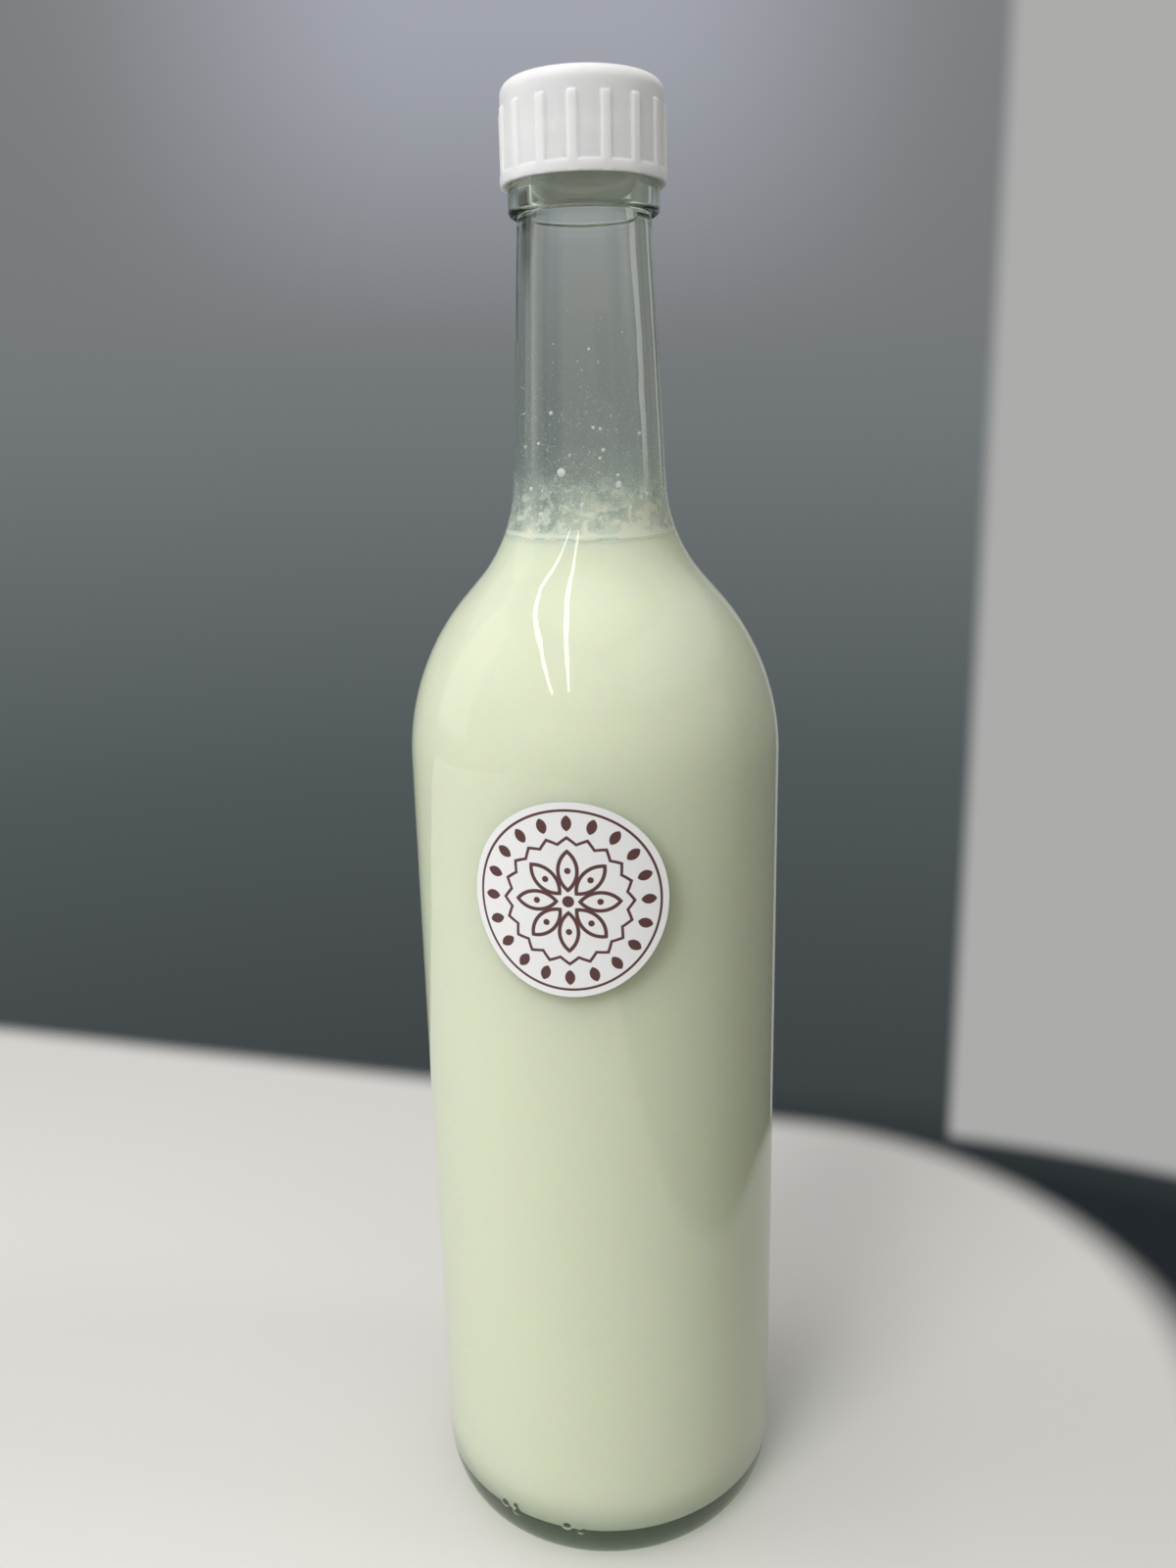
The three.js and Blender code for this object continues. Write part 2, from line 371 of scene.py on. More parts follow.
# %% [markdown]
# The heel carries small raised marks from the mould: pairs of a round dot and a short upright bar. Blown
# glass is also never quite true: besides the fine ripple, a few long waves bend the reflections as on a
# real bottle. They are a few hundredths of a millimetre deep outside and a tenth inside, and they only
# take glass away, so the bottle stays within its measured size.

# %% Heel marks and waver
MARK_HEIGHT = 9.4
MARK_DEPTH = 0.35
MARK_RADIUS = 0.95
BAR_REACH = 0.8
MARK_PAIRS = (-35.25, -12.25, 120.25, 141.25)
PAIR_HALF = 2.25
MARK_TURNS = [radians(pair + side) for pair in MARK_PAIRS for side in (-PAIR_HALF, PAIR_HALF)]
OUTER_WAVER = 0.035
INNER_WAVER = 0.12
WAVER_TOP = RING_BOTTOM - 2.0
rng = np.random.default_rng(7)
WAVES = [(rng.integers(1, 6), rng.uniform(0.02, 0.16), rng.uniform(0, 2 * pi)) for _ in range(9)]


def waver(angle, height):
    """Unevenness of blown glass, from 0 to 1."""
    total = sum(np.sin(n * angle + k * height + p) for n, k, p in WAVES)
    return 0.5 + 0.5 * total / len(WAVES)


def heel_marks(angle, height):
    """Raised dots and short bars in pairs, the first of each pair a dot."""
    relief = np.zeros(np.broadcast(angle, height).shape)
    for place, turn in enumerate(MARK_TURNS):
        across = (angle - turn % (2 * pi)) * BODY_RADIUS
        upward = height - MARK_HEIGHT
        reach = 0.0 if place % 2 == 0 else BAR_REACH
        distance = np.hypot(across, np.maximum(abs(upward) - reach, 0))
        relief += MARK_DEPTH * np.clip(1 - (distance / MARK_RADIUS) ** 2, 0, 1)
    return relief


print("waver at the shoulder:", round(float(waver(0.0, SHOULDER_START)), 2), "marks:", len(MARK_TURNS))

# %% All the relief on the glass
THREADED_FROM = RING_TOP + 0.35


def glass_relief(angle, radius, height):
    outside = radius > BODY_RADIUS - WALL / 2
    finish = (height > THREADED_FROM) & (height < LIP) & (radius > (FINISH_RADIUS + BORE_RADIUS) / 2)
    thread = thread_relief(angle, height, GLASS_BEAD_STAND, GLASS_BEAD, 0.0)
    inside = radius < wall_radius(height) + WALL / 2
    waves = np.where(height > HEEL_HEIGHT / 2, waver(angle, height), 0)
    return (
        np.where(finish, thread, 0)
        + np.where(outside & (height < HEEL_HEIGHT), heel_marks(angle, height), 0)
        - np.where(height < WAVER_TOP, waves * np.where(inside, INNER_WAVER, OUTER_WAVER), 0)
    )


mark_top = glass_relief(MARK_TURNS[0] % (2 * pi), BODY_RADIUS, MARK_HEIGHT)
print("a dot stands", round(float(mark_top), 2), "mm out of the heel")

# %% [markdown]
# The outer skin runs from the push-up under the base, over the flat ring that the bottle stands on, up to
# the lip. The inner skin runs from the floor up the bore. Joined at the lip they make one closed wall.

# %% Outer and inner skin
RING_ROUNDING = 1.1
RING_FILLET = 0.5
RING_EDGE = 0.3
RING_TAPER_START = 275.4
FINISH_START = RING_TOP + 0.4
BORE_START = 277.0
PUSH_UP_EDGE = 0.3
neck_side = shoulder_and_neck(0, RING_BOTTOM - RING_FILLET * 0.3)[-1]
collar_foot = outline_of(
    arc((neck_side[0] + RING_FILLET, neck_side[1]), (RING_FILLET, RING_FILLET), 180, 110, 6),
    arc((RING_RADIUS - RING_ROUNDING, RING_BOTTOM + RING_ROUNDING), [RING_ROUNDING] * 2, -75, 0, 10),
)
outer_skin = outline_of(
    arc((0, 0), (REST_RING_INNER - PUSH_UP_EDGE, PUSH_UP), 90, 3, 14),
    straight((REST_RING_INNER, 0.0), (REST_RING_OUTER - 0.1, 0.0), 2),
    arc((REST_RING_OUTER, HEEL_HEIGHT), (BODY_RADIUS - REST_RING_OUTER, HEEL_HEIGHT), -90, 0, 44),
    straight((BODY_RADIUS, HEEL_HEIGHT), (BODY_RADIUS, SHOULDER_START), 44),
    shoulder_and_neck(0, neck_side[1]),
    collar_foot,
    straight((RING_RADIUS, RING_TAPER_START), (RING_TOP_RADIUS, RING_TOP - RING_EDGE), 12),
    arc((RING_TOP_RADIUS - RING_EDGE, RING_TOP - RING_EDGE), (RING_EDGE, RING_EDGE), 0, 80, 5),
    straight((FINISH_RADIUS, FINISH_START), (FINISH_RADIUS, LIP - LIP_ROUNDING), 44),
    arc((FINISH_RADIUS - LIP_ROUNDING, LIP - LIP_ROUNDING), [LIP_ROUNDING] * 2, 0, 90, 6),
)
inner_skin = outline_of(
    inner_wall[:-1],
    straight((BORE_RADIUS, BORE_START), (BORE_RADIUS, LIP - LIP_ROUNDING), 6),
    arc((BORE_RADIUS + LIP_ROUNDING, LIP - LIP_ROUNDING), [LIP_ROUNDING] * 2, 180, 90, 6),
)
print("outer skin with", len(outer_skin), "points and inner skin with", len(inner_skin))

# %% [markdown]
# The lathe's columns stand two degrees apart, and closer where the heel marks need them, which keeps the
# marks crisp and the mesh light.

# %% Turn the bottle
COLUMN_STEP = 2.0
FINE_STEP = 0.5
FINE_HALF = 5.0
near_pair = np.arange(-FINE_HALF, FINE_HALF + FINE_STEP / 2, FINE_STEP)
fine = [pair + step for pair in MARK_PAIRS for step in near_pair]
coarse = [turn for turn in np.arange(-180, 180, COLUMN_STEP)
          if min(abs(turn - pair) for pair in MARK_PAIRS) > FINE_HALF + FINE_STEP]
columns = np.sort(np.radians(fine + coarse) % (2 * pi))
print("bottle with", len(columns), "columns")
bottle = turned("glass_bottle", outline_of(outer_skin, inner_skin[::-1]), columns, glass, glass_relief)
finished(bottle, "clear_glass", "bottle")

# %% [markdown]
# ## Milk
#
# Whole milk is water full of fat droplets: light goes in, scatters and comes out again a little way off,
# so its shade runs softly round the bottle. That is subsurface scattering over a few millimetres. Behind
# glass it has almost no gloss of its own. The piece reaches a little way into the wall, as real milk wets
# the glass and leaves no air between. At the wall its surface climbs into a small meniscus.

# %% Milk material
MILK_SCATTER = 5.0
milk_white, tree = new_material("whole_milk")
cream = add(tree, "ShaderNodeBsdfPrincipled", {
    "Base Color": linear("#f1efe0"), "Roughness": 0.5, "Specular IOR Level": 0.0,
    "Subsurface Weight": 1.0, "Subsurface Radius": (1.0, 0.8, 0.5),
    "Subsurface Scale": MILK_SCATTER * MM,
})
add(tree, "ShaderNodeOutputMaterial", {"Surface": cream})
print(milk_white.name, "scatters red light over", MILK_SCATTER, "mm")

# %% Turn the milk
INTO_WALL = 0.15
MENISCUS_WIDTH = 1.2
MENISCUS_DEPTH = 0.72
wall = shoulder_and_neck(WALL - INTO_WALL, RING_BOTTOM)
wall = wall[wall[:, 1] < MILK_LEVEL]
shore = (float(wall_radius(MILK_LEVEL)) + INTO_WALL, MILK_LEVEL)
meniscus = arc((shore[0] - MENISCUS_WIDTH, MILK_LEVEL), (MENISCUS_WIDTH, MENISCUS_DEPTH), 0, -90, 6)
milk_outline = outline_of(
    inner_base(-INTO_WALL),
    straight((body_inside + INTO_WALL, FLOOR_EDGE + INNER_HEEL_HEIGHT), wall[0], 20),
    wall, shore, meniscus, (0, MILK_LEVEL - MENISCUS_DEPTH),
)
milk = turned("milk", milk_outline, evenly(160), milk_white)
finished(milk, "milk", "milk")

# %% [markdown]
# ## Film on the wetted wall
#
# Shaking leaves a skin of milk on the inside of the neck. It is thick just above the milk and thins out
# upwards. A closed band of mesh lies in the inner face of the glass, so that no air gap shows. How much it
# covers is a sum of three: a haze that thins out with height, lumps of foam in the lowest centimetre, and a
# fine spray that reaches higher. Foam and haze are denser towards the right: partly foam that gathers
# there, and partly painted light, which lightens the side that less light reaches.
# Height and side are those of the Object coordinates, in metres.

# %% Where the film lies
FILM_FOOT = MILK_LEVEL - 1.5
FILM_TOP = MILK_LEVEL + 42.0
film_milk, tree = new_material("drying_milk_film")
place = add(tree, "ShaderNodeTexCoord")
high = add(tree, "ShaderNodeSeparateXYZ", {0: place.outputs["Object"]})
# Partly painted light: the film grows denser towards the right, for the foam there and also to lighten the
# side that less light reaches.
side = add(tree, "ShaderNodeMapRange", {
    "Value": high.outputs["X"], "From Min": -10.0 * MM, "From Max": 12.0 * MM, "To Min": 0.6, "To Max": 1.3,
})
print("film from", round(FILM_FOOT, 1), "to", round(FILM_TOP, 1), "mm")

# %% Haze that thins out upwards
CLOUD_SIZE = 5.26
HAZE_STOPS = ((0.03, 0.6), (0.09, 0.4), (0.17, 0.26), (0.27, 0.1), (0.4, 0.02), (0.6, 0.0))
rise = add(tree, "ShaderNodeMapRange", {
    "Value": high.outputs["Z"], "From Min": MILK_LEVEL * MM, "From Max": FILM_TOP * MM,
})
thickness = add(tree, "ShaderNodeValToRGB", {0: rise})
stops = thickness.color_ramp.elements
for share, cover in HAZE_STOPS:
    stops.new(share).color = [cover] * 3 + [1]
stops[0].color = [1.0] * 3 + [1]
stops[len(stops) - 1].color = [0.0] * 3 + [1]
clouds = add(tree, "ShaderNodeTexNoise", {
    "Vector": place.outputs["Object"], "Scale": cells(CLOUD_SIZE), "Detail": 5.0, "Roughness": 0.55,
    "Distortion": 0.5,
})
mottle = add(tree, "ShaderNodeMapRange", {
    "Value": clouds, "From Min": 0.32, "From Max": 0.68, "To Min": 0.35, "To Max": 1.4,
})
# Painted light: the haze is thickened on the right, so that this less lit side shows lighter.
haze_denser_right_painted_light = add(tree, "ShaderNodeMath", {0: side, 1: thickness}, operation="MULTIPLY")
haze = add(tree, "ShaderNodeMath", {0: mottle, 1: haze_denser_right_painted_light}, operation="MULTIPLY")
print("haze in clouds", CLOUD_SIZE, "mm across, in", len(stops), "steps of thickness")

# %% Lumps of foam
LUMP_SIZE = 2.78
FOAM_HEIGHT = 12.0
FULL_FOAM_HEIGHT = 3.0
lumps = add(tree, "ShaderNodeTexNoise", {
    "Vector": place.outputs["Object"], "Scale": cells(LUMP_SIZE), "Detail": 3.0, "Roughness": 0.5,
    "Distortion": 0.6,
})
lump = add(tree, "ShaderNodeMapRange", {
    "Value": lumps, "From Min": 0.47, "From Max": 0.66, "To Max": 0.8,
}, interpolation_type="SMOOTHSTEP")
foam_depth = add(tree, "ShaderNodeMapRange", {
    "Value": high.outputs["Z"],
    "From Min": (MILK_LEVEL + FOAM_HEIGHT) * MM, "From Max": (MILK_LEVEL + FULL_FOAM_HEIGHT) * MM,
})
foam_here = add(tree, "ShaderNodeMath", {0: foam_depth, 1: side}, operation="MULTIPLY")
foam = add(tree, "ShaderNodeMath", {0: lump, 1: foam_here}, operation="MULTIPLY")
print("foam in lumps", LUMP_SIZE, "mm across, up to", FOAM_HEIGHT, "mm above the milk")

# %% Fine spray
SPRAY_SIZE = 0.385
specks = add(tree, "ShaderNodeTexNoise", {
    "Vector": place.outputs["Object"], "Scale": cells(SPRAY_SIZE), "Detail": 1.0,
})
speck = add(tree, "ShaderNodeMapRange", {
    "Value": specks, "From Min": 0.64, "From Max": 0.72, "To Max": 0.5,
})
speck_depth = add(tree, "ShaderNodeMapRange", {
    "Value": high.outputs["Z"], "From Min": (FILM_TOP - 6.0) * MM, "From Max": (MILK_LEVEL + 4.0) * MM,
})
spray = add(tree, "ShaderNodeMath", {0: speck, 1: speck_depth}, operation="MULTIPLY")
wet = add(tree, "ShaderNodeMath", {0: haze, 1: foam}, operation="ADD")
film = add(tree, "ShaderNodeMath", {0: wet, 1: spray}, operation="ADD", use_clamp=True)
print("spray in drops", SPRAY_SIZE, "mm across")

# %% [markdown]
# Where the film meets the milk it is always closed, and a little below the level it ends, out of sight. A
# thin film of milk looks bluish and a thick one creamy, so the colour follows the cover. Drying milk has a
# weak, broad sheen.

# %% Film material
from_edge = add(tree, "ShaderNodeMath", {0: high.outputs["Z"], 1: MILK_LEVEL * MM}, operation="SUBTRACT")
off_edge = add(tree, "ShaderNodeMath", {0: from_edge}, operation="ABSOLUTE")
edge = add(tree, "ShaderNodeMapRange", {
    "Value": off_edge, "From Min": 0.8 * MM, "From Max": 0.25 * MM,
})
covered = add(tree, "ShaderNodeMath", {0: film, 1: edge}, operation="MAXIMUM")
in_sight = add(tree, "ShaderNodeMapRange", {
    "Value": from_edge, "From Min": -1.2 * MM, "From Max": -0.4 * MM,
})
cover = add(tree, "ShaderNodeMath", {0: covered, 1: in_sight}, operation="MULTIPLY")
milk_shade = add(tree, "ShaderNodeMix", {
    0: film, 6: linear("#e3ebea"), 7: linear("#f4efe4"),
}, data_type="RGBA")
film_skin = add(tree, "ShaderNodeBsdfPrincipled", {
    "Base Color": milk_shade.outputs[2], "Roughness": 0.4, "Specular IOR Level": 0.1, "Alpha": cover,
})
add(tree, "ShaderNodeOutputMaterial", {"Surface": film_skin})
print(film_milk.name, "with", len(tree.nodes), "nodes")

# %% [markdown]
# The band is a closed ring, so its outline closes on itself and the lathe joins its last ring to its first.
# At its foot it lies a hair further out than the milk, and covers the milk's sharp upper edge, from which
# light would leak away and leave a dark line.

# %% Turn the film
FILM_HALF = 0.04
PAST_MILK = 0.02
film_heights = np.linspace(FILM_FOOT, FILM_TOP, 88)
film_wall = np.column_stack((wall_radius(film_heights), film_heights))
above_milk = np.clip(film_heights - MILK_LEVEL, 0, None)
outward = np.column_stack((FILM_HALF + (INTO_WALL + PAST_MILK) * np.exp(-above_milk), 0 * above_milk))
film_outline = np.vstack((film_wall + outward, film_wall[::-1] - (FILM_HALF, 0)))
film = turned("milk_film", film_outline, evenly(128), film_milk, closed=True)
finished(film, "milk")

# %% [markdown]
# ## Drops and bubbles
#
# Above the film sit small drops of milk and foam bubbles, many near the milk and few higher up. A drop is
# nearly opaque, and its wet skin is glossy, with about the index of water. They are one bead shape
# repeated, so Geometry Nodes set it on points: each bead is a ball squashed against the wall that it sticks
# to, and its direction and size come from attributes of its point.

# %% Bead material
bead_milk, tree = new_material("milk_drop")
drop_skin = add(tree, "ShaderNodeBsdfPrincipled", {
    "Base Color": linear("#fbfbf8"), "Roughness": 0.3, "IOR": 1.34, "Alpha": 0.85,
})
add(tree, "ShaderNodeOutputMaterial", {"Surface": drop_skin})
print(bead_milk.name, "with an index of", round(drop_skin.inputs["IOR"].default_value, 2))


# %% Tree that sets beads on a wall
def new_tree(name, sockets):
    group = bpy.data.node_groups.new(name, "GeometryNodeTree")
    group.interface.new_socket("Geometry", in_out="OUTPUT", socket_type="NodeSocketGeometry")
    names = {}
    for label, kind in sockets.items():
        names[label] = group.interface.new_socket(label, in_out="INPUT", socket_type=kind).identifier
    return group, names, group.nodes.new("NodeGroupInput")


beads, bead_names, given = new_tree("beads_on_a_wall", {
    "Geometry": "NodeSocketGeometry", "Squash": "NodeSocketFloat", "Fineness": "NodeSocketInt",
    "Material": "NodeSocketMaterial",
})
ball = add(beads, "GeometryNodeMeshIcoSphere", {"Radius": 1.0, "Subdivisions": given.outputs["Fineness"]})
squash = add(beads, "ShaderNodeCombineXYZ", {"X": 1.0, "Y": 1.0, "Z": given.outputs["Squash"]})
flattened = add(beads, "GeometryNodeTransform", {"Geometry": ball, "Scale": squash})
smooth = add(beads, "GeometryNodeSetShadeSmooth", {"Geometry": flattened})
outward = add(beads, "GeometryNodeInputNamedAttribute", {"Name": "outward"}, data_type="FLOAT_VECTOR")
size = add(beads, "GeometryNodeInputNamedAttribute", {"Name": "size"}, data_type="FLOAT")
facing = add(beads, "FunctionNodeAlignRotationToVector", {"Vector": outward.outputs["Attribute"]}, axis="Z")
points = add(beads, "GeometryNodeMeshToPoints", {"Mesh": given.outputs["Geometry"]})
placed = add(beads, "GeometryNodeInstanceOnPoints", {
    "Points": points, "Instance": smooth, "Rotation": facing, "Scale": size.outputs["Attribute"],
})
real = add(beads, "GeometryNodeRealizeInstances", {"Geometry": placed})
coloured = add(beads, "GeometryNodeSetMaterial", {"Geometry": real, "Material": given.outputs["Material"]})
add(beads, "NodeGroupOutput", {"Geometry": coloured})
print("tree", beads.name, "with", len(beads.nodes), "nodes")

# %% [markdown]
# The tree runs as a modifier on a carrier, a mesh that holds only the points. Its result is read back as a
# plain mesh and the carrier is thrown away. The specks are many and tiny, so they come from a seeded random
# draw and have only 20 faces each.

# %% Run a tree and keep its mesh
def applied(name, carrier, group, names, values):
    """Runs a Geometry Nodes tree on carrier and keeps only the plain mesh that it makes."""
    modifier = carrier.modifiers.new(name, "NODES")
    modifier.node_group = group
    for label, value in values.items():
        modifier[names[label]] = value
    evaluated = carrier.evaluated_get(bpy.context.evaluated_depsgraph_get())
    mesh = bpy.data.meshes.new_from_object(evaluated)
    bpy.data.objects.remove(carrier)
    piece = bpy.data.objects.new(name, mesh)
    bpy.context.scene.collection.objects.link(piece)
    return piece


print("trees so far:", [group.name for group in bpy.data.node_groups])

# %% Beads on the wall
BEAD_SQUASH = 0.45
BEAD_STAND = 0.1


def beads_at(name, heights, turns, sizes, fineness):
    """Beads on the inside of the glass, at heights and sizes in mm and turns in radians."""
    reach = wall_radius(heights) - BEAD_STAND * sizes
    spots = np.column_stack((reach * np.sin(turns), -reach * np.cos(turns), heights)) * MM
    facing_out = np.column_stack((np.sin(turns), -np.cos(turns), np.zeros(len(turns))))
    carrier = bpy.data.objects.new(name, bpy.data.meshes.new(name))
    carrier.data.from_pydata(spots.tolist(), [], [])
    attributes = carrier.data.attributes
    attributes.new("outward", "FLOAT_VECTOR", "POINT").data.foreach_set("vector", facing_out.ravel())
    attributes.new("size", "FLOAT", "POINT").data.foreach_set("value", sizes * MM)
    bpy.context.scene.collection.objects.link(carrier)
    piece = applied(name, carrier, beads, bead_names, {
        "Squash": BEAD_SQUASH, "Fineness": fineness, "Material": bead_milk,
    })
    finished(piece, "milk")


print("beads are squashed to", BEAD_SQUASH, "and their middles stand off by", BEAD_STAND, "of their size")

# %% Specks of foam
SPECKS = 700
SPECK_FLOOR = 0.6
SPECK_SPREAD = 12.0
SMALLEST_SPECK = 0.06
SPECK_GROWTH = 0.05
LARGEST_GROWTH = 0.3
draw = np.random.default_rng(20)
speck_heights = MILK_LEVEL + SPECK_FLOOR + draw.exponential(SPECK_SPREAD, SPECKS) % (FILM_TOP - MILK_LEVEL)
speck_sizes = SMALLEST_SPECK + draw.exponential(SPECK_GROWTH, SPECKS).clip(0, LARGEST_GROWTH)
beads_at("foam_specks", speck_heights, draw.uniform(0, 2 * pi, SPECKS), speck_sizes, 1)

# %% [markdown]
# The largest drops are set one by one: each has a height in millimetres, a turn from the front in degrees
# and a size in millimetres. Those in front hang where the picture shows them, and the last five, at the
# back, are guessed.

# %% Largest drops
BIG_DROPS = np.array((
    (225.1, -23.4, 0.85), (235.8, -33.0, 0.4), (233.0, 3.9, 0.34), (231.8, 47.2, 0.42), (220.6, 52.7, 0.5),
    (246.8, 1.6, 0.28), (222.1, -54.4, 0.42), (218.2, 34.1, 0.55), (229.0, 12.0, 0.36), (224.4, 24.0, 0.4),
    (227.6, 9.0, 0.3), (219.0, -6.0, 0.55), (230.4, -46.0, 0.32), (217.2, -41.0, 0.6), (216.4, 8.0, 0.5),
    (222.0, 150.0, 0.7), (228.0, 200.0, 0.4), (219.5, 120.0, 0.6), (233.0, 168.0, 0.35),
    (218.0, 235.0, 0.55),
))
beads_at("milk_drops", BIG_DROPS[:, 0], np.radians(BIG_DROPS[:, 1]), BIG_DROPS[:, 2], 3)

# %% [markdown]
# ## Screw cap
#
# The cap is injection moulded polypropylene: satin, slightly see-through, never quite white. Light that
# falls on it glows on its inside, which shows through the glass ring under it. The mould's surface leaves a
# faint grain. The real one is under a tenth of a millimetre, too fine to show, so it is drawn coarser.

# %% Cap material
MOULD_GRAIN = 0.714
MOULD_DEPTH = 0.05
CAP_SCATTER = 2.4
cap_white, tree = new_material("moulded_white_polypropylene")
place = add(tree, "ShaderNodeTexCoord")
grain = add(tree, "ShaderNodeTexNoise", {
    "Vector": place.outputs["Object"], "Scale": cells(MOULD_GRAIN), "Detail": 2.0,
})
bump = add(tree, "ShaderNodeBump", {"Height": grain, "Strength": 0.12, "Distance": MOULD_DEPTH * MM})
skin = add(tree, "ShaderNodeBsdfPrincipled", {
    "Base Color": linear("#fcfcfa"), "Roughness": 0.38, "IOR": 1.49, "Normal": bump,
    "Subsurface Weight": 1.0, "Subsurface Radius": (1.0, 0.97, 0.85),
    "Subsurface Scale": CAP_SCATTER * MM,
})
add(tree, "ShaderNodeOutputMaterial", {"Surface": skin})
print(cap_white.name, "with a grain of", MOULD_GRAIN, "mm")

# %% [markdown]
# The cap's wall is turned like the glass: its outline runs from the ceiling inside, down the bore, round
# the band at the foot and up the outside to the slightly domed crown.

# %% Outline of the cap
CAP_RADIUS = 15.0
BAND_RADIUS = 15.42
BAND_TOP = 278.2
CAP_EDGE = 2.3
CAP_CROWN = 0.3
CAP_CEILING = LIP + 0.35
CAP_BORE = 14.1
SKIRT_BORE = 14.45
RIB_TOP = 289.3
SKIRT_ROUNDING = 0.15
BAND_ROUNDING = 0.3
BAND_EDGE = 0.2
BAND_FILLET = 0.25
cap_shoulder = CAP_TOP - CAP_CROWN - CAP_EDGE
crown_radius = CAP_RADIUS - CAP_EDGE
crown = [(crown_radius * s, CAP_TOP - CAP_CROWN * s * s) for s in np.linspace(1, 0, 12)]
cap_outline = outline_of(
    straight((0, CAP_CEILING), (CAP_BORE - 0.4, CAP_CEILING), 6),
    straight((CAP_BORE, CAP_CEILING - 0.4), (CAP_BORE, BAND_TOP + 0.3), 44),
    straight((SKIRT_BORE, BAND_TOP - 0.3), (SKIRT_BORE, CAP_BOTTOM + SKIRT_ROUNDING), 3),
    arc((SKIRT_BORE + SKIRT_ROUNDING, CAP_BOTTOM + SKIRT_ROUNDING), [SKIRT_ROUNDING] * 2, 180, 270, 3),
    arc((BAND_RADIUS - BAND_ROUNDING, CAP_BOTTOM + BAND_ROUNDING), [BAND_ROUNDING] * 2, -90, 0, 6),
    arc((BAND_RADIUS - BAND_EDGE, BAND_TOP - 0.35), (BAND_EDGE, BAND_EDGE), 0, 60, 4),
    arc((CAP_RADIUS + BAND_FILLET, BAND_TOP + 0.3), (BAND_FILLET, BAND_FILLET), 240, 180, 4),
    straight((CAP_RADIUS, BAND_TOP + 0.4), (CAP_RADIUS, RIB_TOP - 1.5), 6),
    straight((CAP_RADIUS, RIB_TOP - 1.4), (CAP_RADIUS, RIB_TOP + 0.1), 15),
    straight((CAP_RADIUS, RIB_TOP + 0.4), (CAP_RADIUS, cap_shoulder), 4),
    arc((crown_radius, cap_shoulder), (CAP_EDGE, CAP_EDGE), 0, 90, 14),
    crown,
)
print("cap", round(CAP_TOP - CAP_BOTTOM, 1), "mm high, its outline with", len(cap_outline), "points")

# %% [markdown]
# The thread is relief on the inside of the wall. The grip ribs belong to the same moulding, so they are
# raised out of the wall as well, in the next step, and not laid on it. The lathe's columns stand closer
# where the flanks of a rib will be.

# %% Turn the cap
CAP_BEAD = 0.75
RIB_COUNT = 16
FIRST_RIB = -6.6
RIB_WIDTH = 2.4
RIB_CORNER = 0.8
RIB_FLANK = 0.6
BESIDE_RIB = (1.6, 2.2)


def cap_relief(angle, radius, height):
    inner = (radius < CAP_BORE + 0.05) & (height < CAP_CEILING - 0.5) & (height > BAND_TOP + 0.4)
    return -np.where(inner, thread_relief(angle, height, 0.0, CAP_BEAD, 0.5), 0)


flank = np.linspace(RIB_WIDTH / 2 - RIB_FLANK - 0.1, RIB_WIDTH / 2 + 0.1, 9)
half_rib = np.concatenate((flank, BESIDE_RIB))
between_ribs = pi * CAP_RADIUS / RIB_COUNT
rib_columns = np.concatenate((-half_rib[::-1], (0.0,), half_rib, (between_ribs,))) / CAP_RADIUS
first_turns = evenly(RIB_COUNT)[:, None] + radians(FIRST_RIB)
cap_columns = np.sort((first_turns + rib_columns).ravel() % (2 * pi))
smooth_cap = turned("smooth_cap", cap_outline, cap_columns, cap_white, cap_relief)
print("cap wall with", len(cap_columns), "columns")

# %% [markdown]
# ### Sixteen ribs by Geometry Nodes
#
# The tree folds the circle into as many equal sectors as there are ribs, and lifts each point of the outer
# wall by how far it lies inside the outline of a bar with rounded upper corners. The flank is a smooth
# step, so the rib grows out of the wall with a soft foot, and at its lower end it runs flush into the band.

# %% Tree that raises ribs out of a round wall
grip, grip_names, given = new_tree("raised_ribs", {
    "Geometry": "NodeSocketGeometry", "Count": "NodeSocketInt", "First": "NodeSocketFloat",
    "Wall": "NodeSocketFloat", "Stand": "NodeSocketFloat", "Width": "NodeSocketFloat",
    "Top": "NodeSocketFloat", "Corner": "NodeSocketFloat", "Flank": "NodeSocketFloat",
    "Material": "NodeSocketMaterial",
})
point = add(grip, "GeometryNodeInputPosition")
axes = add(grip, "ShaderNodeSeparateXYZ", {0: point})
flat_point = add(grip, "ShaderNodeVectorMath", {0: point, 1: (1, 1, 0)}, operation="MULTIPLY")
reach = add(grip, "ShaderNodeVectorMath", {0: flat_point}, operation="LENGTH").outputs["Value"]
print("tree", grip.name, "takes", ", ".join(grip_names))

# %% How far each point is from the middle of its sector
to_front = add(grip, "ShaderNodeMath", {0: axes.outputs["Y"], 1: -1.0}, operation="MULTIPLY")
round_axis = add(grip, "ShaderNodeMath", {0: axes.outputs["X"], 1: to_front}, operation="ARCTAN2")
from_first = add(grip, "ShaderNodeMath", {0: round_axis, 1: given.outputs["First"]}, operation="SUBTRACT")
sector = add(grip, "ShaderNodeMath", {0: 2 * pi, 1: given.outputs["Count"]}, operation="DIVIDE")
half_sector = add(grip, "ShaderNodeMath", {0: sector, 1: 0.5}, operation="MULTIPLY")
other_half = add(grip, "ShaderNodeMath", {0: half_sector, 1: -1.0}, operation="MULTIPLY")
sector_turn = add(grip, "ShaderNodeMath", {
    0: from_first, 1: half_sector, 2: other_half,
}, operation="WRAP")
along_wall = add(grip, "ShaderNodeMath", {0: sector_turn, 1: given.outputs["Wall"]}, operation="MULTIPLY")
off_middle = add(grip, "ShaderNodeMath", {0: along_wall}, operation="ABSOLUTE")
print("a sector is", round(2 * pi * CAP_RADIUS / RIB_COUNT, 2), "mm wide and a rib", RIB_WIDTH, "mm")

